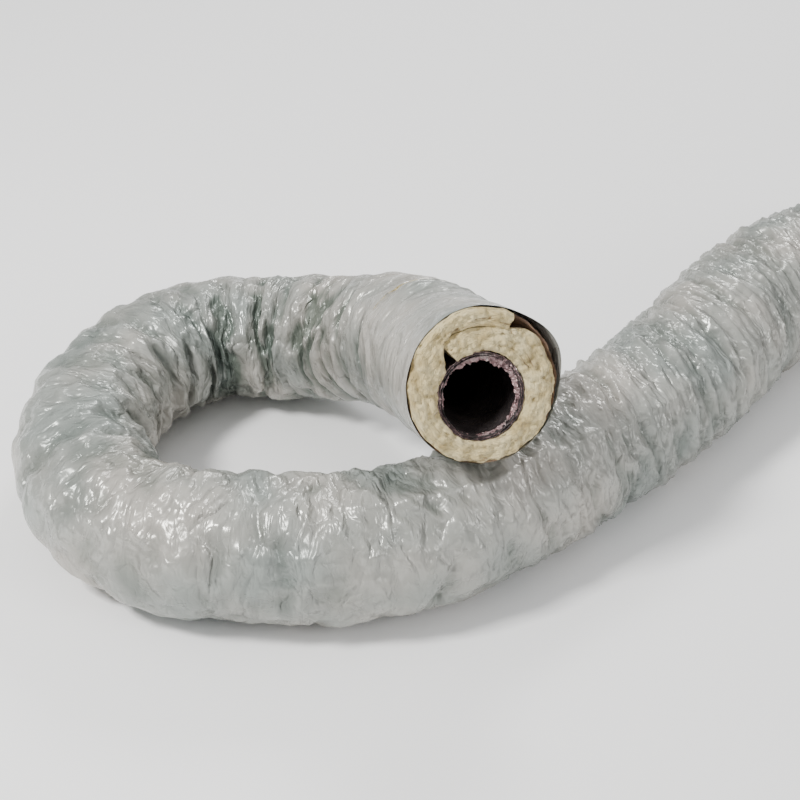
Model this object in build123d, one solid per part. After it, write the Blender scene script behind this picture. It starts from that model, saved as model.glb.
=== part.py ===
"""Insulated flexible air duct, 76 mm bore, lying in a loop on the floor with its cut end on its own run.

From the bore outwards the duct is an inner film, a spring-steel wire helix, an outer film, a glass-wool
blanket, a thin metallised facing film and a grey plastic jacket. Each layer is cut into stretches: the
mouth, the swing stretch, the throat, the lift stretch, the loop, the bend stretch, the tail, the bellows
stretch and the tail end. The stretches named after a motion flex, and the others ride on rigid bodies.

Millimetres, +Z up. The origin is on the floor, under the middle of the duct's box.
"""

from build123d import *
import math
import os

# Driving dimensions
BORE_RADIUS = 38.0
CORE_FILM = 0.4
CORE_GAP = 0.4
WIRE_DIAMETER = 1.2
WIRE_PITCH = 34.0
WOOL_INNER_RADIUS = 41.2
WOOL_OUTER_RADIUS = 71.6
FACING_FILM = 0.3
SKIN_GAP = 0.2
JACKET_RADIUS = 73.0
JACKET_FILM = 0.6

# Each corner of the route is rounded by an arc that takes this share of its shorter run
ARC_SHARE = 0.45
WIRE_CORNERS_PER_TURN = 8
# The wire stops short of each stretch's ends, so that the stretches' wires stay apart
WIRE_END_GAP = 3.0

# The floor point under the middle of the duct's box, in the route's own coordinates
ORIGIN = Vector(340.6, -58.2, 0)

# The duct's centreline, from the mouth at the open end to the far end, before ORIGIN is taken off
ROUTE = [
    (75.0, -318.0, 242.0),
    (44.5, -215.6, 200.0),
    (10.0, -106.0, 152.0),
    (-48.0, -22.0, 101.0),
    (-134.0, 22.0, 73.0),
    (-222.0, 20.0, 73.0),
    (-288.0, -28.0, 73.0),
    (-327.0, -108.0, 73.0),
    (-332.0, -200.0, 73.0),
    (-294.0, -288.0, 73.0),
    (-222.0, -340.0, 73.0),
    (-128.0, -349.0, 73.0),
    (-36.0, -348.0, 73.0),
    (54.0, -313.0, 73.0),
    (127.0, -251.0, 73.0),
    (198.0, -180.0, 73.0),
    (272.0, -108.0, 73.0),
    (338.0, -18.0, 73.0),
    (402.0, 74.0, 73.0),
    (484.0, 158.0, 73.0),
    (592.0, 214.0, 73.0),
    (712.0, 230.0, 73.0),
    (832.0, 218.0, 73.0),
    (952.0, 216.0, 73.0),
    (1074.0, 233.0, 73.0),
]

# Each stretch runs from the middle of one run of the route to the middle of a later one.
# None stands for the duct's own end.
STRETCHES = {
    "mouth": (None, 0),
    "swing_stretch": (0, 1),
    "throat": (1, 2),
    "lift_stretch": (2, 3),
    "loop": (3, 13),
    "bend_stretch": (13, 15),
    "tail": (15, 17),
    "bellows_stretch": (17, 19),
    "tail_end": (19, None),
}


def corner_radius(before, corner, after):
    """The radius of the arc that rounds a corner of a route, and half the corner's turn in radians."""
    way_in = corner - before
    way_out = after - corner
    half_turn = math.radians(way_in.get_angle(way_out)) / 2
    shorter = min(way_in.length, way_out.length)
    return ARC_SHARE * shorter / math.tan(half_turn), half_turn


def rounded_path(points, radii):
    """Straight runs joined by tangent arcs, as one wire. radii has (radius, half turn) for each corner."""
    edges = []
    start = points[0]
    for before, corner, after, (radius, half_turn) in zip(points, points[1:], points[2:], radii):
        way_in = (corner - before).normalized()
        way_out = (after - corner).normalized()
        reach = radius * math.tan(half_turn)
        inwards = (way_out - way_in).normalized()
        arc_start = corner - way_in * reach
        arc_middle = corner + inwards * radius * (1 / math.cos(half_turn) - 1)
        arc_end = corner + way_out * reach
        edges.append(Line(start, arc_start))
        edges.append(ThreePointArc(arc_start, arc_middle, arc_end))
        start = arc_end
    edges.append(Line(start, points[-1]))
    return Wire([edge for line in edges for edge in line.edges()])


def stretch_path(first, last):
    """The centreline of one stretch, as a wire."""
    begin = 0 if first is None else first + 1
    end = len(route) - 1 if last is None else last
    points = [] if first is None else [(route[first] + route[first + 1]) / 2]
    corners = range(max(begin, 1), min(end, len(route) - 2) + 1)
    points += [route[0]] if first is None else []
    points += [route[i] for i in corners]
    points += [route[-1]] if last is None else [(route[last] + route[last + 1]) / 2]
    radii = [corner_radius(route[i - 1], route[i], route[i + 1]) for i in corners]
    return rounded_path(points, radii)


def tube(path, inner_radius, outer_radius):
    """A round tube that follows a path."""
    plane = Plane(origin=path @ 0, z_dir=path % 0)
    section = plane * (Circle(outer_radius) - Circle(inner_radius))
    return sweep(section, path)


def helix_wire(path, start_angle):
    """The spring wire round a path, and the angle at which the next stretch's wire goes on."""
    coil_radius = BORE_RADIUS + CORE_FILM + CORE_GAP + WIRE_DIAMETER / 2
    length = path.length - 2 * WIRE_END_GAP
    count = round(length / WIRE_PITCH * WIRE_CORNERS_PER_TURN)
    # the corners stand out so far that the runs pass as much inside the coil as the arcs pass outside it
    run_middle = math.cos(math.pi / WIRE_CORNERS_PER_TURN)
    arc_middle = 1 - 2 * ARC_SHARE * (1 - run_middle)
    reach = coil_radius * 2 / (run_middle + arc_middle)
    corners = []
    for i in range(count + 2):
        along = WIRE_END_GAP + length * (i - 0.5) / count
        share = along / path.length
        forwards = path % share
        sideways = forwards.cross(Vector(0, 0, 1)).normalized()
        upwards = sideways.cross(forwards)
        angle = start_angle + 2 * math.pi * along / WIRE_PITCH
        outwards = sideways * math.cos(angle) + upwards * math.sin(angle)
        corners.append(path @ share + outwards * reach)
    first = (corners[0] + corners[1]) / 2
    last = (corners[-2] + corners[-1]) / 2
    points = [first, *corners[1:-1], last]
    radii = [corner_radius(*three) for three in zip(corners, corners[1:], corners[2:])]
    wire_path = rounded_path(points, radii)
    section = Plane(origin=wire_path @ 0, z_dir=wire_path % 0) * Circle(WIRE_DIAMETER / 2)
    return sweep(section, wire_path), start_angle + 2 * math.pi * path.length / WIRE_PITCH


route = [Vector(*point) - ORIGIN for point in ROUTE]

# The layers that are plain tubes: inner and outer radius
core_outer = BORE_RADIUS + CORE_FILM + 2 * CORE_GAP + WIRE_DIAMETER
facing_inner = WOOL_OUTER_RADIUS + SKIN_GAP
LAYERS = {
    "core_inner_film": (BORE_RADIUS, BORE_RADIUS + CORE_FILM),
    "core_outer_film": (core_outer, core_outer + CORE_FILM),
    "wool": (WOOL_INNER_RADIUS, WOOL_OUTER_RADIUS),
    "facing": (facing_inner, facing_inner + FACING_FILM),
    "jacket": (JACKET_RADIUS - JACKET_FILM, JACKET_RADIUS),
}


def main():
    os.makedirs("parts", exist_ok=True)
    angle = 0.0
    total = 0.0
    for stretch, (first, last) in STRETCHES.items():
        path = stretch_path(first, last)
        total += path.length
        for layer, (inner_radius, outer_radius) in LAYERS.items():
            export_step(tube(path, inner_radius, outer_radius), f"parts/{layer}_{stretch}.step")
        wire, angle = helix_wire(path, angle)
        export_step(wire, f"parts/wire_{stretch}.step")
        print(stretch, "length", round(path.length, 1), "starts at", path @ 0, "towards", path % 0)
    for i in range(1, len(route) - 1):
        print("corner", i, "radius", round(corner_radius(*route[i - 1 : i + 2])[0]))
    print("total length", round(total, 1))


main()
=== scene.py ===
"""The looks of the insulated flexible air duct, over its CAD frame. Metres, +Z up."""

import math

import bpy
import numpy as np
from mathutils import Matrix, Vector


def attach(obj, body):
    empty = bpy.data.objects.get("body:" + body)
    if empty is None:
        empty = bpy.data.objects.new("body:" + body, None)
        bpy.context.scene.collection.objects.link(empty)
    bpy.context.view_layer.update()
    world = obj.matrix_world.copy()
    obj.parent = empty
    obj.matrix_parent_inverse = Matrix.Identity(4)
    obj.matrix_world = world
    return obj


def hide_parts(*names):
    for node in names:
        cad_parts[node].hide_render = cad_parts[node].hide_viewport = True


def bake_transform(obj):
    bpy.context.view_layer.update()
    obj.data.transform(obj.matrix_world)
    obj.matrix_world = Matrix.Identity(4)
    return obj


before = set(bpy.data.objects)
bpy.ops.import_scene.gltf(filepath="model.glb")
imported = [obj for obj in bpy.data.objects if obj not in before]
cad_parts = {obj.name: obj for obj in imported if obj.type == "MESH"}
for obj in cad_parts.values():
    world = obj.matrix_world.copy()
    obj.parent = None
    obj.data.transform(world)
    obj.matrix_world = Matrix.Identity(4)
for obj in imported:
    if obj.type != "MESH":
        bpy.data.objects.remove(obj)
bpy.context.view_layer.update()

# The floor point under the middle of the duct's box, in the route's own coordinates, and the route, in mm
ORIGIN = np.array([340.6, -58.2, 0.0])
ROUTE = np.array(
    [
        (75.0, -318.0, 242.0),
        (44.5, -215.6, 200.0),
        (10.0, -106.0, 152.0),
        (-48.0, -22.0, 101.0),
        (-134.0, 22.0, 73.0),
        (-222.0, 20.0, 73.0),
        (-288.0, -28.0, 73.0),
        (-327.0, -108.0, 73.0),
        (-332.0, -200.0, 73.0),
        (-294.0, -288.0, 73.0),
        (-222.0, -340.0, 73.0),
        (-128.0, -349.0, 73.0),
        (-36.0, -348.0, 73.0),
        (54.0, -313.0, 73.0),
        (127.0, -251.0, 73.0),
        (198.0, -180.0, 73.0),
        (272.0, -108.0, 73.0),
        (338.0, -18.0, 73.0),
        (402.0, 74.0, 73.0),
        (484.0, 158.0, 73.0),
        (592.0, 214.0, 73.0),
        (712.0, 230.0, 73.0),
        (832.0, 218.0, 73.0),
        (952.0, 216.0, 73.0),
        (1074.0, 233.0, 73.0),
    ]
)
ARC_SHARE = 0.45
route = (ROUTE - ORIGIN) / 1000


# ---- centreline ----


def rounded(points):
    """Points every 1 mm or so along straight runs joined by tangent arcs."""
    out = []
    start = points[0]
    for before, corner, after in zip(points, points[1:], points[2:]):
        way_in, way_out = corner - before, after - corner
        reach = ARC_SHARE * min(np.linalg.norm(way_in), np.linalg.norm(way_out))
        way_in /= np.linalg.norm(way_in)
        way_out /= np.linalg.norm(way_out)
        half_turn = math.acos(min(1.0, way_in @ way_out)) / 2
        radius = reach / math.tan(half_turn)
        inwards = (way_out - way_in) / np.linalg.norm(way_out - way_in)
        centre = corner + inwards * radius / math.cos(half_turn)
        first = corner - way_in * reach
        count = max(2, int(np.linalg.norm(first - start) / 0.001))
        out += [start + (first - start) * i / count for i in range(count)]
        count = max(4, int(2 * half_turn * radius / 0.001))
        for i in range(count):
            turn = half_turn * (2 * i / count - 1)
            tangent = way_in + way_out
            tangent /= np.linalg.norm(tangent)
            out.append(centre - inwards * radius * math.cos(turn) + tangent * radius * math.sin(turn))
        start = corner + way_out * reach
    count = max(2, int(np.linalg.norm(points[-1] - start) / 0.001))
    out += [start + (points[-1] - start) * i / count for i in range(count + 1)]
    return np.array(out)


line = rounded(route)
line_at = np.concatenate([[0], np.cumsum(np.linalg.norm(np.diff(line, axis=0), axis=1))])
LENGTH = line_at[-1]


def smooth(values, width):
    kernel = np.hanning(width + 2)[1:-1]
    padded = np.concatenate([np.repeat(values[:1], width, 0), values, np.repeat(values[-1:], width, 0)])
    columns = [np.convolve(padded[:, i], kernel / kernel.sum(), "same") for i in range(values.shape[1])]
    return np.stack(columns, 1)[width:-width]


heading = np.gradient(line, line_at, axis=0)
heading /= np.linalg.norm(heading, axis=1)[:, None]
bend = smooth(np.gradient(smooth(heading, 41), line_at, axis=0), 41)


def along(values, s):
    return np.stack([np.interp(s, line_at, values[:, i]) for i in range(3)], -1)


def frame_at(s):
    """Centre, heading, sideways and upwards at a distance from the mouth.

    Past the mouth the line goes straight on.
    """
    s = np.asarray(s, float)
    inside = np.clip(s, 0, LENGTH)
    forwards = along(heading, inside)
    forwards /= np.linalg.norm(forwards, axis=-1)[..., None]
    centre = along(line, inside) + forwards * (s - inside)[..., None]
    sideways = np.cross(forwards, [0, 0, 1.0])
    sideways /= np.linalg.norm(sideways, axis=-1)[..., None]
    return centre, forwards, sideways, np.cross(sideways, forwards)


def tube_points(s, turn, radius, sag=False):
    """Points of a tube's skin. turn is 0 at the side and a quarter turn at the top.

    sag lets it lie low in the mouth.
    """
    centre, _, sideways, upwards = frame_at(s)
    out = sideways * np.cos(turn)[..., None] + upwards * np.sin(turn)[..., None]
    if sag:
        centre = centre + (upwards * CORE_SAG[1] + sideways * CORE_SAG[0]) * sagging(s)[..., None]
    return centre + out * radius[..., None]


# How far the core's middle lies sideways and upwards of the jacket's at the mouth
CORE_SAG = (-0.0015, -0.0095)
SAG_REACH = 0.075


def sagging(s):
    """How much of the core's sag at the mouth is left at a distance into the duct."""
    t = np.clip(s / SAG_REACH, 0, 1)
    return 1 - t * t * (3 - 2 * t)


# Where each stretch starts, from the mouth
def mid_run(i):
    middle = (route[i] + route[i + 1]) / 2
    return line_at[np.argmin(np.linalg.norm(line - middle, axis=1))]


MOUTH_END, SWING_END, THROAT_END, LIFT_END = mid_run(0), mid_run(1), mid_run(2), mid_run(3)
LOOP_END, BEND_END, TAIL_END, BELLOWS_END = mid_run(13), mid_run(15), mid_run(17), mid_run(19)

# name, start, end, bodies, the flexing stretch, how far its ends are drawn in, and the CAD stretches
# it stands for
PIECES = [
    (
        "mouth", 0.0, SWING_END, ("throat", "mouth"),
        (SWING_END, MOUTH_END), 0.004, ["mouth", "swing_stretch"],
    ),
    (
        "throat", SWING_END, LIFT_END, ("loop", "throat"),
        (LIFT_END, THROAT_END), 0.017, ["throat", "lift_stretch"],
    ),
    ("loop", LIFT_END, LOOP_END, ("loop",), None, 0, ["loop"]),
    (
        "tail", LOOP_END, TAIL_END, ("loop", "tail"),
        (LOOP_END, BEND_END), 0.006, ["bend_stretch", "tail"],
    ),
    (
        "tail_end", TAIL_END, LENGTH, ("tail", "tail_end"),
        (TAIL_END, BELLOWS_END), 0.02, ["bellows_stretch", "tail_end"],
    ),
]


# ---- noise ----


def lattice(cells, seed):
    h = cells[0] * 374761393 + cells[1] * 668265263 + cells[2] * 2147483647 + seed * 1274126177
    h = (h ^ (h >> 13)) * 1274126177
    h = (h ^ (h >> 16)) & 0xFFFF
    return h / 32767.5 - 1


def noise(p, seed=0):
    """Smooth noise from -1 to 1 at points in space."""
    base = np.floor(p).astype(np.int64)
    f = p - base
    w = f * f * f * (f * (f * 6 - 15) + 10)
    total = 0
    for i in (0, 1):
        for j in (0, 1):
            for k in (0, 1):
                cell = (base[..., 0] + i, base[..., 1] + j, base[..., 2] + k)
                share = np.abs(1 - i - w[..., 0]) * np.abs(1 - j - w[..., 1]) * np.abs(1 - k - w[..., 2])
                total = total + share * lattice(cell, seed)
    return total


def ridges(p, seed=0, octaves=3, gain=0.5):
    """Creased noise: 1 on sharp ridge lines, falling away on both sides."""
    total, size = 0, 1.0
    for i in range(octaves):
        total = total + size * (1 - 2.6 * np.abs(noise(p * 2.03**i + 17.1 * i, seed + i)))
        size *= gain
    return total / (2 - gain ** (octaves - 1)) - 0.3


def step(low, high, x):
    t = np.clip((x - low) / (high - low), 0, 1)
    return t * t * (3 - 2 * t)


# ---- jacket ----

RADIUS = 0.073
CELL = 0.007
ROUND = 66
# The film is cut this much longer and wider than the tube that it ends up on
LOOSE_LENGTH, LOOSE_ROUND = 1.11, 1.015
# The lowest valley, the highest crest over the tube, and the gap under the film on the floor
DEEPEST, HIGHEST, FLOOR_GAP = 0.0618, 0.006, 0.0006
# How near the neck's middle the front run's skin may come
NECK_REACH = 0.0755
rings = int(LENGTH / CELL) + 1
ring_s = np.linspace(0, LENGTH, rings)


def jacket_radius(s):
    """The jacket's radius before it is crumpled: thinner at the back, fatter on the tail."""
    stations = [0, 0.06, 0.16, 0.3, 0.42, 0.56, 0.72, 0.9, 1.1, 1.3, 1.5, 1.75, 2.0, 2.3, 2.5]
    radii = [0.0732, 0.0726, 0.0718, 0.0708, 0.07, 0.0695, 0.0695, 0.0705, 0.0725, 0.0735]
    radii += [0.0765, 0.0815, 0.083, 0.079, 0.076]
    return np.interp(s, stations, radii)


def inner_side(s, turn):
    """How much the bend shortens the skin: below 0 outside the bend, above 0 inside it."""
    _, _, sideways, upwards = frame_at(s)
    curve = along(bend, np.clip(s, 0, LENGTH))
    out = sideways * np.cos(turn)[..., None] + upwards * np.sin(turn)[..., None]
    return (curve * out).sum(-1) * RADIUS


def laid_flat(s, turn, radius):
    """The tube's points as if it were straightened out, for patterns that follow it."""
    return np.stack([s, radius * np.cos(turn), radius * np.sin(turn)], -1)


def crumpled_by_cloth(loose, laid, hold):
    """The film as cloth cut longer than the tube it lies on.

    The tube shortens, and the wool under the film holds it softly.
    """
    n, m = laid.shape[:2]
    faces = [
        (i * m + j, i * m + (j + 1) % m, (i + 1) * m + (j + 1) % m, (i + 1) * m + j)
        for i in range(n - 1)
        for j in range(m)
    ]
    mesh = bpy.data.meshes.new("film_cloth")
    mesh.from_pydata(loose.reshape(-1, 3).tolist(), [], faces)
    film = bpy.data.objects.new("film_cloth", mesh)
    bpy.context.scene.collection.objects.link(film)
    film.shape_key_add(name="Basis")
    key = film.shape_key_add(name="laid")
    key.data.foreach_set("co", laid.astype(np.float32).ravel())
    for value, at in ((0, 1), (1, CLOTH_FRAMES // 2)):
        key.value = value
        key.keyframe_insert("value", frame=at)
    group = film.vertex_groups.new(name="hold")
    for value in np.unique(hold):
        group.add(np.flatnonzero(hold.ravel() == value).tolist(), float(value), "REPLACE")
    cloth = film.modifiers.new("cloth", "CLOTH")
    settings = cloth.settings
    settings.vertex_group_mass = "hold"
    settings.pin_stiffness = 1.0
    settings.quality = 5
    settings.mass = 0.12
    settings.tension_stiffness = settings.compression_stiffness = 40
    settings.shear_stiffness = 10
    settings.bending_model = "ANGULAR"
    settings.bending_stiffness = 30
    settings.effector_weights.gravity = 0
    cloth.collision_settings.use_collision = False
    scene = bpy.context.scene
    cloth.point_cache.frame_start, cloth.point_cache.frame_end = 1, CLOTH_FRAMES
    for frame_number in range(1, CLOTH_FRAMES + 1):
        scene.frame_set(frame_number)
    settled = film.evaluated_get(bpy.context.evaluated_depsgraph_get()).to_mesh()
    points = np.empty(len(settled.vertices) * 3, np.float32)
    settled.vertices.foreach_get("co", points)
    scene.frame_set(1)
    bpy.data.objects.remove(film)
    return points.reshape(n, m, 3).astype(float)


CLOTH_FRAMES = 26
grid_turns = np.arange(ROUND) * 2 * math.pi / ROUND - math.pi / 2
grid_s, grid_turn = np.meshgrid(ring_s, grid_turns, indexing="ij")
base_radius = jacket_radius(grid_s)
straight = laid_flat(grid_s, grid_turn, base_radius)
laid = tube_points(grid_s, grid_turn, base_radius)
middle = frame_at(grid_s)[0]
loose = laid - middle
uneven = np.stack([noise(straight * 190, 1 + i) for i in range(3)], -1)
loose = middle * LOOSE_LENGTH + loose * LOOSE_ROUND + 0.0006 * uneven
hold = np.interp(grid_s, [0, 0.05, 0.15, 0.95, 1.35, 2.5], [0.6, 0.5, 0.36, 0.36, 0.42, 0.42]).round(2)
hold[(grid_s < 0.012) | (grid_s > LENGTH - 0.012)] = 1.0
offset = crumpled_by_cloth(loose, laid, hold) - laid
offset[1:-1] = (offset[:-2] + 2 * offset[1:-1] + offset[2:]) / 4


def finer(values, times, wrap):
    """Values interpolated smoothly along their first axis."""
    n = len(values)
    t = np.arange(n * times if wrap else (n - 1) * times + 1) / times
    i = np.minimum(t.astype(int), n - 1 if wrap else n - 2)
    f = (t - i).reshape(-1, *[1] * (values.ndim - 1))
    a, b, c, d = (values[(i + k) % n if wrap else np.clip(i + k, 0, n - 1)] for k in (-1, 0, 1, 2))
    return 0.5 * (2 * b + (c - a) * f + (2 * a - 5 * b + 4 * c - d) * f**2 + (3 * b - a - 3 * c + d) * f**3)


FINE = 3
# Where round the tube the long crest beside the mouth runs, in radians from the side
CREST_TURNS = [1.26, 1.07, 0.78]
fine_offset = finer(finer(offset, FINE, False).swapaxes(0, 1), FINE, True).swapaxes(0, 1)
fine_stations = np.linspace(0, LENGTH, (rings - 1) * FINE + 1)
fine_turns = np.arange(ROUND * FINE) * 2 * math.pi / (ROUND * FINE) - math.pi / 2
fine_s, fine_turn = np.meshgrid(fine_stations, fine_turns, indexing="ij")
fine_radius = jacket_radius(fine_s)
rim = 0.0025 * noise(np.stack([4 * np.cos(fine_turn), 4 * np.sin(fine_turn), 0 * fine_turn], -1), 61)
cut_s = fine_s + (rim - 0.001) * (1 - step(0, 0.02, fine_s))
centre, _, sideways, upwards = frame_at(cut_s)
out = sideways * np.cos(fine_turn)[..., None] + upwards * np.sin(fine_turn)[..., None]
shortened = inner_side(fine_s, fine_turn)
flat = laid_flat(fine_s, fine_turn, RADIUS)

# Creases and folds by region. Valleys are pinched between round bulges, and crests stand up
# between flat facets.
warp = 0.014 * np.stack([noise(flat * 18, 40 + i) for i in range(3)], -1)
bumps = 0.0022 * noise(flat * [11, 8, 8], 5) + 0.0012 * noise(flat * [26, 18, 18], 6)
valleys = -ridges((flat + warp) * [27, 6, 6], 11, 3, 0.5)
slanted = flat + np.stack([0.45 * flat[..., 1] + 0.3 * flat[..., 2], 0 * fine_s, 0 * fine_s], -1)
crests = ridges((slanted + warp * 1.5) * [17, 10, 10], 23, 4, 0.55)
cross_slanted = flat - np.stack([0.6 * flat[..., 1] + 0.2 * flat[..., 2], 0 * fine_s, 0 * fine_s], -1)
cross_crests = ridges((cross_slanted + warp) * [20, 12, 12], 27, 3, 0.55)
crinkle = ridges((slanted + warp * 0.6) * [75, 17, 17], 31, 3, 0.6)
hoops = ridges((slanted + warp * 0.4) * [48, 5, 5], 35, 2, 0.6)
facets = ridges((flat + warp * 2) * [10, 9, 9], 37, 4, 0.5)
patches = step(-0.1, 0.4, noise(flat * 12, 51))
back = 1 - step(0.5, 0.62, fine_s)
left = step(0.5, 0.62, fine_s) * (1 - step(0.85, 0.98, fine_s))
front = step(0.85, 0.98, fine_s) * (1 - step(1.22, 1.38, fine_s))
right = step(1.22, 1.38, fine_s)
mouth_calm = 0.2 + 0.8 * step(0.03, 0.17, fine_s)
inward = np.clip(shortened + 0.05, 0, 0.6)
lift = bumps
lift = lift + back * ((0.0018 + 0.026 * inward) * valleys + 0.0014 * crests)
lift = lift + left * (0.026 * inward * valleys + 0.0042 * facets + 0.0010 * patches * crinkle)
front_folds = (0.0030 + 0.009 * inward) * crests + 0.0026 * cross_crests + 0.0008 * patches * crinkle
lift = lift + front * front_folds
lift = lift + right * (0.0026 * valleys + 0.0032 * crinkle + 0.0020 * crests + 0.0022 * hoops)
crest_turn = np.interp(fine_s, [1.22, 1.35, 1.47], CREST_TURNS)
crest = np.exp(-np.abs(fine_turn - crest_turn + 0.06 * noise(flat * [30, 0, 0], 55)) * RADIUS / 0.006)
lift = lift + 0.0045 * crest * step(1.08, 1.18, fine_s) * (1 - step(1.5, 1.65, fine_s))
lift = lift + 0.0005 * crinkle
lift = lift * mouth_calm

cloth_share = 0.55 + 1.9 * inward * (1 - right) + 0.35 * left
radial = np.clip((fine_offset * out).sum(-1) * cloth_share, -0.008, 0.005)
radial *= 0.3 + 0.7 * step(0.04, 0.15, fine_s)
sliding = fine_offset - (fine_offset * out).sum(-1)[..., None] * out
sliding *= np.clip(0.006 / (np.linalg.norm(sliding, axis=-1) + 1e-9), 0, 1)[..., None]
near_rim = 1 - step(0, 0.07, fine_s)
# The rim stands off the wool at its right
from_gap = (fine_turn - 0.38 + math.pi) % (2 * math.pi) - math.pi
stand_off = 0.0075 * np.exp(-((from_gap / 0.42) ** 2))
stand_off += 0.0025 * np.clip(np.sin(fine_turn), 0, 1) ** 2
skin_radius = np.clip(fine_radius + lift + radial, DEEPEST, fine_radius + HIGHEST)
skin_radius += near_rim * stand_off
skin = centre + out * skin_radius[..., None] + sliding

# How deep a point lies in a fold, from -1 on a crest to 1 in a valley, at full weight on the back run:
# painted shade, which the jacket's material uses to darken the valleys
painted_fold_shade = np.clip(-(lift + radial) / 0.005, -1, 1) * (0.6 + 0.4 * back)

# The film lies flat where it meets the floor, and is dented where the mouth's neck lies on the front run
neck_s = np.arange(0, LIFT_END, 0.004)
neck = frame_at(neck_s)[0]
is_front = (fine_s > 0.85) & (fine_s < 1.5)
picked = skin[is_front]
gap = picked[:, None, :] - neck[None, :, :]
distance = np.linalg.norm(gap, axis=-1)
nearest = distance.argmin(1)
reach = distance[np.arange(len(picked)), nearest]
push = np.clip(NECK_REACH - reach, 0, None)
skin[is_front] = picked + gap[np.arange(len(picked)), nearest] / reach[:, None] * push[:, None]
skin[..., 2] = np.maximum(skin[..., 2], FLOOR_GAP)


# ---- building meshes ----


def new_object(name, points, faces, layout, normals=None, depth=None):
    """A mesh object. layout is each point on the straightened tube, which the materials follow."""
    mesh = bpy.data.meshes.new(name)
    mesh.vertices.add(len(points))
    mesh.vertices.foreach_set("co", np.asarray(points, np.float32).ravel())
    faces = np.asarray(faces, np.int32)
    mesh.loops.add(faces.size)
    mesh.loops.foreach_set("vertex_index", faces.ravel())
    mesh.polygons.add(len(faces))
    mesh.polygons.foreach_set("loop_start", np.arange(0, faces.size, faces.shape[1], dtype=np.int32))
    mesh.update(calc_edges=True)
    mesh.polygons.foreach_set("use_smooth", np.ones(len(faces), bool))
    attribute = mesh.attributes.new("lay", "FLOAT_VECTOR", "POINT")
    attribute.data.foreach_set("vector", np.asarray(layout, np.float32).ravel())
    # depth is the painted fold shade, stored per point for the material
    if depth is not None:
        attribute = mesh.attributes.new("painted_fold_shade", "FLOAT", "POINT")
        attribute.data.foreach_set("value", np.asarray(depth, np.float32).ravel())
    if normals is not None:
        mesh.normals_split_custom_set_from_vertices(np.asarray(normals, float).reshape(-1, 3).tolist())
    obj = bpy.data.objects.new(name, mesh)
    bpy.context.scene.collection.objects.link(obj)
    return obj


def quads(n, m, wrap=True, offset=0, flip=False):
    """The faces of a grid of n rows of m points."""
    i, j = np.meshgrid(np.arange(n - 1), np.arange(m if wrap else m - 1), indexing="ij")
    k = (j + 1) % m
    corners = np.stack([i * m + j, (i + 1) * m + j, (i + 1) * m + k, i * m + k], -1).reshape(-1, 4) + offset
    return corners[:, ::-1] if flip else corners


def grid_normals(points):
    """Outward normals of a wrapped grid, so that pieces cut from it meet without a line."""
    a = np.gradient(points, axis=0)
    b = np.roll(points, -1, 1) - np.roll(points, 1, 1)
    n = np.cross(a, b)
    return n / (np.linalg.norm(n, axis=-1)[..., None] + 1e-12)


def place(obj, piece, material, cad_layer):
    """Gives a piece its material, hangs it on its body when it has no flexing stretch and otherwise only
    bakes its transform in, and hides the CAD nodes it stands for.
    """
    bodies, zone, inset, stretches = piece[3:]
    obj.data.materials.append(material)
    if zone is None:
        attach(obj, bodies[0])
    else:
        a, b = frame_at(zone[0])[0], frame_at(zone[1])[0]
        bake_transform(obj)
    if cad_layer:
        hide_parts(*[f"{cad_layer}_{stretch}" for stretch in stretches])
    return obj


# ---- materials ----


class Nodes:
    """A material's nodes, with short calls for the ones used here."""

    def __init__(self, name, **sockets):
        self.material = bpy.data.materials.new(name)
        self.material.use_nodes = True
        self.tree = self.material.node_tree
        self.shader = self.tree.nodes["Principled BSDF"]
        for socket, value in sockets.items():
            self.shader.inputs[socket.replace("_", " ")].default_value = value

    def add(self, kind, **inputs):
        node = self.tree.nodes.new(kind)
        for key, value in inputs.items():
            key = key.replace("_", " ")
            if key in node.inputs:
                if hasattr(value, "is_output"):
                    self.tree.links.new(value, node.inputs[key])
                else:
                    node.inputs[key].default_value = value
            else:
                setattr(node, key.replace(" ", "_"), value)
        return node

    def lay(self):
        node = self.add("ShaderNodeAttribute")
        node.attribute_name = "lay"
        return node.outputs["Vector"]

    def scaled(self, vector, scale):
        node = self.add("ShaderNodeMapping")
        self.tree.links.new(vector, node.inputs["Vector"])
        node.inputs["Scale"].default_value = scale
        return node.outputs["Vector"]

    def noise(self, vector, scale, detail=3.0, roughness=0.55, distortion=0.0):
        inputs = {"Scale": scale, "Detail": detail, "Roughness": roughness, "Distortion": distortion}
        node = self.add("ShaderNodeTexNoise", **inputs)
        self.tree.links.new(vector, node.inputs["Vector"])
        return node.outputs["Fac"]

    def ramp(self, fac, *stops):
        node = self.add("ShaderNodeValToRGB")
        self.tree.links.new(fac, node.inputs["Fac"])
        elements = node.color_ramp.elements
        while len(elements) < len(stops):
            elements.new(0.5)
        for element, (position, colour) in zip(elements, stops):
            element.position = position
            element.color = (*colour, 1) if hasattr(colour, "__len__") else (colour, colour, colour, 1)
        return node.outputs["Color"]

    def math(self, operation, a, b):
        node = self.add("ShaderNodeMath")
        node.operation = operation
        for socket, value in zip(node.inputs, (a, b)):
            if hasattr(value, "is_output"):
                self.tree.links.new(value, socket)
            else:
                socket.default_value = value
        return node.outputs[0]

    def mix(self, fac, a, b, blend="MIX"):
        node = self.add("ShaderNodeMix")
        node.data_type, node.blend_type = "RGBA", blend
        for socket, value in zip((node.inputs[0], node.inputs[6], node.inputs[7]), (fac, a, b)):
            if hasattr(value, "is_output"):
                self.tree.links.new(value, socket)
            else:
                socket.default_value = (*value, 1) if hasattr(value, "__len__") else value
        return node.outputs[2]

    def bump(self, height, strength, distance, normal=None):
        node = self.add("ShaderNodeBump", Strength=strength, Distance=distance)
        self.tree.links.new(height, node.inputs["Height"])
        if normal is not None:
            self.tree.links.new(normal, node.inputs["Normal"])
        return node.outputs["Normal"]

    def to(self, socket, value):
        self.tree.links.new(value, self.shader.inputs[socket])


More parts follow.
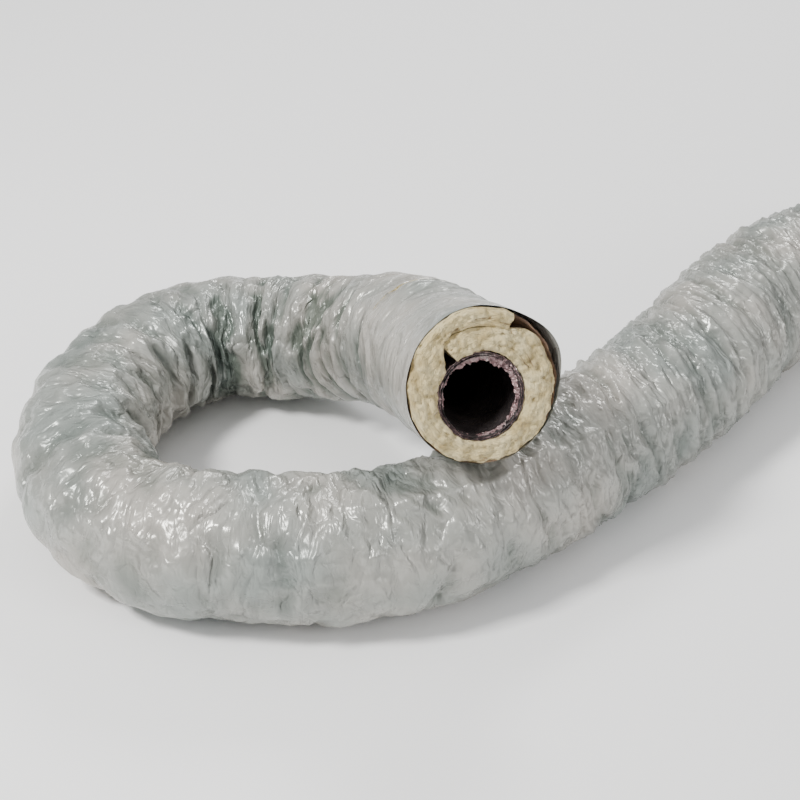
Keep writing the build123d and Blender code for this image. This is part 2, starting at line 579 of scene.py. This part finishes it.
def crease_height(m, vector, scale, seed_shift):
    """Thin crease lines: where smooth noise passes its middle."""
    moved = m.add("ShaderNodeVectorMath")
    moved.operation = "ADD"
    m.tree.links.new(vector, moved.inputs[0])
    moved.inputs[1].default_value = (seed_shift, seed_shift * 0.7, -seed_shift)
    fac = m.noise(moved.outputs[0], scale, 2.0, 0.5, 0.6)
    return m.math("ABSOLUTE", m.math("SUBTRACT", fac, 0.5), 0)


def jacket_material():
    m = Nodes("jacket_film", Roughness=0.3, IOR=1.5, Metallic=0.25)
    lay = m.lay()
    broad = m.noise(lay, 9.0, 2.0)
    colour = m.ramp(broad, (0.35, (0.27, 0.295, 0.275)), (0.65, (0.43, 0.41, 0.37)))
    # Painted shade: the fold depth darkens the film's colour in the valleys, down to a greenish grey, and
    # leaves the crests at full colour
    fold_shade_attribute = m.add("ShaderNodeAttribute")
    fold_shade_attribute.attribute_name = "painted_fold_shade"
    shade = m.ramp(fold_shade_attribute.outputs["Fac"], (0.0, 1.0), (0.3, 0.88), (1.0, (0.36, 0.42, 0.39)))
    m.to("Base Color", m.mix(1.0, colour, shade, "MULTIPLY"))
    fine = crease_height(m, m.scaled(lay, (2.2, 1.0, 1.0)), 16.0, 3.1)
    finer_lines = crease_height(m, m.scaled(lay, (2.4, 1.0, 1.0)), 45.0, 7.7)
    grain = m.noise(lay, 420.0, 2.0)
    normal = m.bump(fine, 1.0, 0.017)
    normal = m.bump(finer_lines, 0.6, 0.006, normal)
    normal = m.bump(grain, 0.12, 0.0004, normal)
    m.to("Normal", normal)
    m.to("Roughness", m.ramp(m.noise(lay, 30.0, 3.0), (0.3, 0.2), (0.7, 0.4)))
    return m.material


def facing_material():
    m = Nodes("facing_film", Metallic=0.55, Roughness=0.35)
    lay = m.lay()
    m.to("Base Color", m.ramp(m.noise(lay, 60.0), (0.3, (0.30, 0.19, 0.16)), (0.7, (0.66, 0.50, 0.41))))
    m.to("Normal", m.bump(crease_height(m, lay, 70.0, 1.3), 0.8, 0.006))
    return m.material


def wool_material():
    m = Nodes("glass_wool", Roughness=0.95)
    lay = m.lay()
    fibre = m.noise(m.scaled(lay, (0.35, 1.0, 1.0)), 520.0, 6.0, 0.7, 0.8)
    layers = m.noise(m.scaled(lay, (0.16, 1.0, 0.5)), 230.0, 3.0, 0.6, 0.5)
    clump = m.noise(lay, 55.0, 4.0, 0.6)
    colour = m.ramp(clump, (0.3, (0.42, 0.31, 0.13)), (0.48, (0.70, 0.57, 0.29)), (0.72, (0.80, 0.69, 0.40)))
    colour = m.mix(0.5, colour, m.ramp(fibre, (0.3, 0.45), (0.6, 1.0)), "MULTIPLY")
    # Painted shade: dark brown lines in the gaps between the blanket's layers, where the layers' bump dips
    shade_between_layers = m.ramp(layers, (0.31, (0.22, 0.14, 0.07)), (0.38, 1.0))
    m.to("Base Color", m.mix(0.8, colour, shade_between_layers, "MULTIPLY"))
    normal = m.bump(layers, 0.9, 0.006)
    normal = m.bump(fibre, 0.7, 0.002, normal)
    m.to("Normal", m.bump(clump, 0.6, 0.006, normal))
    m.shader.inputs["Sheen Weight"].default_value = 0.25
    return m.material


# Painted shade: the core film is coloured near black so that the bore reads as deep shade; the film's own
# purple, pink and silver shows at its cut lip
def core_material_painted_dark():
    m = Nodes("core_film", Metallic=0.3, Roughness=0.45)
    lay = m.lay()
    m.to("Base Color", m.ramp(m.noise(lay, 45.0), (0.3, (0.012, 0.010, 0.010)), (0.7, (0.05, 0.04, 0.04))))
    m.to("Normal", m.bump(crease_height(m, lay, 110.0, 4.3), 0.9, 0.005))
    return m.material


def lip_material():
    m = Nodes("core_lip_film", Metallic=0.45, Roughness=0.28)
    lay = m.lay()
    purple, pink, silver = (0.30, 0.19, 0.20), (0.52, 0.36, 0.36), (0.42, 0.44, 0.40)
    m.to("Base Color", m.ramp(m.noise(lay, 90.0), (0.3, purple), (0.55, pink), (0.75, silver)))
    m.to("Normal", m.bump(crease_height(m, lay, 160.0, 2.1), 1.0, 0.008))
    return m.material


def wire_material():
    m = Nodes("spring_wire", Metallic=1.0, Roughness=0.35)
    m.to("Base Color", m.ramp(m.noise(m.lay(), 300.0), (0.3, (0.30, 0.24, 0.18)), (0.7, (0.55, 0.50, 0.44))))
    m.to("Roughness", m.ramp(m.noise(m.lay(), 800.0), (0.3, 0.25), (0.7, 0.5)))
    return m.material


JACKET, FACING, WOOL = jacket_material(), facing_material(), wool_material()
CORE_PAINTED_DARK, LIP, WIRE = core_material_painted_dark(), lip_material(), wire_material()

# ---- the jacket's pieces ----

normals = grid_normals(skin)
for piece in PIECES:
    name, start_s, end_s = piece[:3]
    first = int(round(start_s / LENGTH * (rings - 1) * FINE))
    last = int(round(end_s / LENGTH * (rings - 1) * FINE))
    part = slice(first, last + 1)
    n, m = last + 1 - first, ROUND * FINE
    points = skin[part].reshape(-1, 3)
    jacket = new_object(f"jacket_{name}", points, quads(n, m), flat[part], normals[part], painted_fold_shade[part])
    place(jacket, piece, JACKET, "jacket")


# ---- hidden layers ----


# Radii of the layers' walls. The wool and the facing are drawn in to stay under the jacket's valleys.
CORE_INNER, CORE_OUTER = (0.038, 0.0384), (0.0404, 0.0408)
WOOL_WALLS, FACING_WALLS = (0.0412, 0.0585), (0.0590, 0.0594)
# Walls outside this radius widen by this much at the tail's open end, to fill the jacket
FILLS_OVER, FILL = 0.055, 0.0132


def plain_layer(piece, walls, material, cad_layer, cell=0.008, around=48):
    """A tube with two walls and closed ends."""
    name, start_s, end_s = piece[:3]
    inner, outer = walls
    n = max(3, int((end_s - start_s) / cell))
    turns = np.arange(around) * 2 * math.pi / around
    s, turn = np.meshgrid(np.linspace(start_s, end_s, n), turns, indexing="ij")
    lay_out = laid_flat(s, turn, outer)
    lay_in = laid_flat(s, turn, inner)
    sags = cad_layer.startswith("core")
    grow = FILL * step(LENGTH - 0.06, LENGTH - 0.015, s)
    radii = [r + (grow if r > FILLS_OVER else 0 * s) for r in (outer, inner)]
    points = np.concatenate([tube_points(s, turn, radius, sags).reshape(-1, 3) for radius in radii])
    faces = np.concatenate([quads(n, around), quads(n, around, True, n * around, True)])
    j = np.arange(around)
    k = (j + 1) % around
    inside = n * around
    ends = [np.stack([j, k, k + inside, j + inside], -1)]
    ends.append(np.stack([j + inside, k + inside, k, j], -1) + (n - 1) * around)
    layout = np.concatenate([lay_out.reshape(-1, 3), lay_in.reshape(-1, 3)])
    obj = new_object(f"{cad_layer}_{name}", points, np.concatenate([faces, *ends]), layout)
    return place(obj, piece, material, cad_layer)


def wire_piece(piece):
    """The spring wire's coil."""
    start_s, end_s = piece[1] + (0.004 if piece[1] == 0 else 0), piece[2]
    pitch, radius, thick = 0.034, 0.0394, 0.0006
    n = int((end_s - start_s) / pitch * 24)
    s = np.linspace(start_s, end_s, n)
    turn = 2 * math.pi * s / pitch
    points = tube_points(s, turn, radius + 0 * s, True)
    _, _, sideways, upwards = frame_at(s)
    outward = sideways * np.cos(turn)[:, None] + upwards * np.sin(turn)[:, None]
    way = np.gradient(points, axis=0)
    way /= np.linalg.norm(way, axis=1)[:, None]
    beside = np.cross(way, outward)
    around = np.arange(6) * math.pi / 3
    ring = outward[:, None] * np.cos(around)[None, :, None] + beside[:, None] * np.sin(around)[None, :, None]
    mesh_points = (points[:, None] + ring * thick).reshape(-1, 3)
    layout = np.repeat(laid_flat(s, turn, radius), 6, axis=0)
    obj = new_object(f"wire_{piece[0]}", mesh_points, quads(n, 6), layout)
    return place(obj, piece, WIRE, "wire")


for piece in PIECES:
    plain_layer(piece, CORE_INNER, CORE_PAINTED_DARK, "core_inner_film", 0.004, 64)
    plain_layer(piece, CORE_OUTER, CORE_PAINTED_DARK, "core_outer_film", 0.006)
    wire_piece(piece)
    if piece[0] != "mouth":
        plain_layer(piece, WOOL_WALLS, WOOL, "wool")
        plain_layer(piece, FACING_WALLS, FACING, "facing")


# ---- the cut mouth ----


def strata(s, u, radius):
    """The blanket rolled out: along it, through its thickness and across it."""
    return np.stack([u * 0.055, radius, s], -1)


def wool_mouth(piece):
    """The blanket, lapped a little over one turn: the cut face is a spiral band."""
    steps, layers, depth = 300, 22, 26
    first_turn, wrap = math.radians(128), math.radians(428)
    u = np.linspace(0, wrap, steps)
    turn = first_turn - u
    lie = CORE_SAG[0] * np.cos(turn) + CORE_SAG[1] * np.sin(turn)
    core = lie + np.sqrt(0.0424**2 - (CORE_SAG[0] * np.sin(turn) - CORE_SAG[1] * np.cos(turn)) ** 2)
    between = core + 0.0225
    skin_at = 0.0705 + 0.0035 * np.clip(np.sin(turn), 0, 1) ** 2 + 0.0015 * np.clip(-np.sin(turn), 0, 1) ** 2
    from_gap = (turn - 0.35 + math.pi) % (2 * math.pi) - math.pi
    skin_at = skin_at - 0.0035 * np.exp(-((from_gap / 0.45) ** 2))
    over = step(math.radians(336), math.radians(372), u)
    under = 1 - step(math.radians(62), math.radians(100), u)
    ragged = noise(np.stack([u * 9, 0 * u, 0 * u], -1), 71)
    inner = core * (1 - over) + (between + 0.0006) * over + 0.0008 * ragged * (1 - over)
    outer = skin_at * (1 - under) + between * under + 0.0008 * ragged
    share = np.linspace(0, 1, layers)
    radius = inner[:, None] + (outer - inner)[:, None] * share[None, :]
    turn2 = np.repeat(turn[:, None], layers, 1)
    p = np.stack([radius * np.cos(turn2), radius * np.sin(turn2), 0 * radius], -1)
    face_s = -0.004 - 0.0022 * noise(p * 260, 81) - 0.0022 * noise(p * 90, 82)
    face_s = face_s - 0.0012 * np.abs(noise(p * 620, 83))
    edge = np.minimum(share, 1 - share)[None, :] * 2
    face_s = face_s + 0.0035 * (1 - step(0, 0.35, edge))
    ends = np.linspace(0, 1, depth) ** 1.5
    length = piece[2]
    rows = []
    for t in ends:
        s = face_s * (1 - t) + length * t
        drawn_in = outer[:, None] * (1 - 0.13 * step(0.004, 0.03, s) - 0.05 * step(0.04, 0.1, s))
        rows.append((s, inner[:, None] + (drawn_in - inner[:, None]) * share[None, :], turn2))
    # skin of the band: the cut face, then its outer and inner walls and its two long ends, as one closed grid
    loop_index = [(i, 0) for i in range(steps)] + [(steps - 1, j) for j in range(1, layers)]
    loop_index += [(i, layers - 1) for i in range(steps - 2, -1, -1)]
    loop_index += [(0, j) for j in range(layers - 2, 0, -1)]
    li = np.array(loop_index)
    side_s = np.stack([row[0][li[:, 0], li[:, 1]] for row in rows])
    side_r = np.stack([row[1][li[:, 0], li[:, 1]] for row in rows])
    side_t = np.stack([row[2][li[:, 0], li[:, 1]] for row in rows])
    side = tube_points(side_s, side_t, side_r)
    side_lay = strata(side_s, first_turn - side_t, side_r)
    face = tube_points(face_s, turn2, radius)
    face_lay = strata(face_s, u[:, None] + 0 * radius, radius)
    back_face = tube_points(length + 0 * face_s, turn2, radius)
    points = np.concatenate([face.reshape(-1, 3), side.reshape(-1, 3), back_face.reshape(-1, 3)])
    layout = np.concatenate([face_lay.reshape(-1, 3), side_lay.reshape(-1, 3), face_lay.reshape(-1, 3)])
    count = steps * layers
    faces = [quads(steps, layers, False, 0, False), quads(depth, len(li), True, count, False)]
    faces.append(quads(steps, layers, False, count + depth * len(li), True))
    obj = new_object("wool_mouth", points, np.concatenate(faces), layout)
    return place(obj, piece, WOOL, "wool")


def facing_mouth(piece):
    """The facing's torn, puckered edge. Behind it the film is drawn in, under the jacket's folds."""
    start, end, cell, around = 0.0005, piece[2], 0.004, 220
    radius, jag, pucker, drawn_in = 0.0722, 0.0015, 0.0006, 0.0115
    n = int((end - start) / cell)
    t, turn = np.meshgrid(np.linspace(0, 1, n), np.arange(around) * 2 * math.pi / around, indexing="ij")
    circle = np.stack([np.cos(turn), np.sin(turn), 0 * turn], -1)
    edge = start + jag * noise(circle * 5, 95) + 0.5 * jag * noise(circle * 14, 96)
    s = edge * (1 - t) + end * t
    near = np.clip(1 - (s - start) / 0.03, 0, 1)
    layout = laid_flat(s, turn, radius)
    wave = pucker * near * ridges(layout * [70, 130, 130], 97, 3) - drawn_in * (1 - near)
    points = tube_points(s, turn, radius + wave)
    obj = new_object("facing_mouth", points.reshape(-1, 3), quads(n, around), layout)
    return place(obj, piece, FACING, "facing")


def core_lip(piece):
    """The core film's cut edge, folded in over the end of the wire and puckered."""
    rows, around = 26, 260
    t, turn = np.meshgrid(np.linspace(0, 1, rows), np.arange(around) * 2 * math.pi / around, indexing="ij")
    circle = np.stack([np.cos(turn), np.sin(turn), 0 * turn], -1)
    wide = 0.0065 + 0.003 * np.cos(turn - 1.1)
    wide = wide + 0.0016 * noise(circle * 4, 90) + 0.0014 * np.abs(noise(circle * 13, 91))
    radius = 0.0418 - wide * (1 - t)
    lay_at = np.stack([t * 0.01, turn * 0.04, radius], -1)
    pucker = ridges(circle * [9, 9, 1] + [[[0, 0, 3]]] * t[..., None], 92, 3, 0.6)
    s = 0.0015 + 0.006 * (1 - t) ** 1.5 + 0.0028 * pucker * (1 - 0.5 * t)
    points = tube_points(s, turn, radius + 0.0006 * pucker, True)
    obj = new_object("core_lip", points.reshape(-1, 3), quads(rows, around), lay_at)
    return place(obj, piece, LIP, None)


mouth_piece = PIECES[0]
wool_mouth(mouth_piece)
core_lip(mouth_piece)
facing_mouth(mouth_piece)

# ---- stage, light and camera ----

floor_mesh = bpy.data.meshes.new("floor")
floor_mesh.from_pydata([(-30, -30, 0), (30, -30, 0), (30, 30, 0), (-30, 30, 0)], [], [(0, 1, 2, 3)])
floor = bpy.data.objects.new("floor", floor_mesh)
bpy.context.scene.collection.objects.link(floor)
floor_nodes = Nodes("floor_paint", Roughness=0.8)
floor_nodes.shader.inputs["Base Color"].default_value = (0.93, 0.93, 0.93, 1)
floor.data.materials.append(floor_nodes.material)

world = bpy.data.worlds.new("studio")
bpy.context.scene.world = world
world.use_nodes = True
sky = world.node_tree.nodes
direction = sky.new("ShaderNodeTexCoord")
height = sky.new("ShaderNodeSeparateXYZ")
brighter = sky.new("ShaderNodeValToRGB")
world.node_tree.links.new(direction.outputs["Generated"], height.inputs[0])
world.node_tree.links.new(height.outputs["Z"], brighter.inputs["Fac"])
world.node_tree.links.new(brighter.outputs["Color"], sky["Background"].inputs["Color"])
brighter.color_ramp.elements[0].color = (0.16, 0.16, 0.17, 1)
brighter.color_ramp.elements[1].color = (1, 1, 1, 1)
sky["Background"].inputs["Strength"].default_value = 1.06


def area_light(name, place_at, aim, size, power, colour=(1, 1, 1)):
    data = bpy.data.lights.new(name, "AREA")
    data.shape, data.size, data.energy, data.color = "SQUARE", size, power, colour
    obj = bpy.data.objects.new(name, data)
    obj.location = place_at
    obj.rotation_euler = (Vector(aim) - Vector(place_at)).to_track_quat("-Z", "Y").to_euler()
    bpy.context.scene.collection.objects.link(obj)


area_light("key", (-1.9, -0.9, 2.2), (-0.3, 0, 0.05), 0.5, 92, (1, 0.99, 0.97))
area_light("fill", (1.8, -1.6, 1.6), (-0.2, 0, 0.05), 1.0, 21)
area_light("back", (0.2, 2.2, 2.2), (-0.2, 0, 0.05), 0.8, 45)

AIM = -ORIGIN / 1000
ELEVATION, DISTANCE = math.radians(35.5), 1.86
camera_data = bpy.data.cameras.new("camera")
camera_data.lens, camera_data.sensor_width = 72, 36
camera = bpy.data.objects.new("camera", camera_data)
camera.location = AIM + DISTANCE * np.array([0, -math.cos(ELEVATION), math.sin(ELEVATION)])
camera.rotation_euler = (math.pi / 2 - ELEVATION, 0, 0)
bpy.context.scene.collection.objects.link(camera)
bpy.context.scene.camera = camera
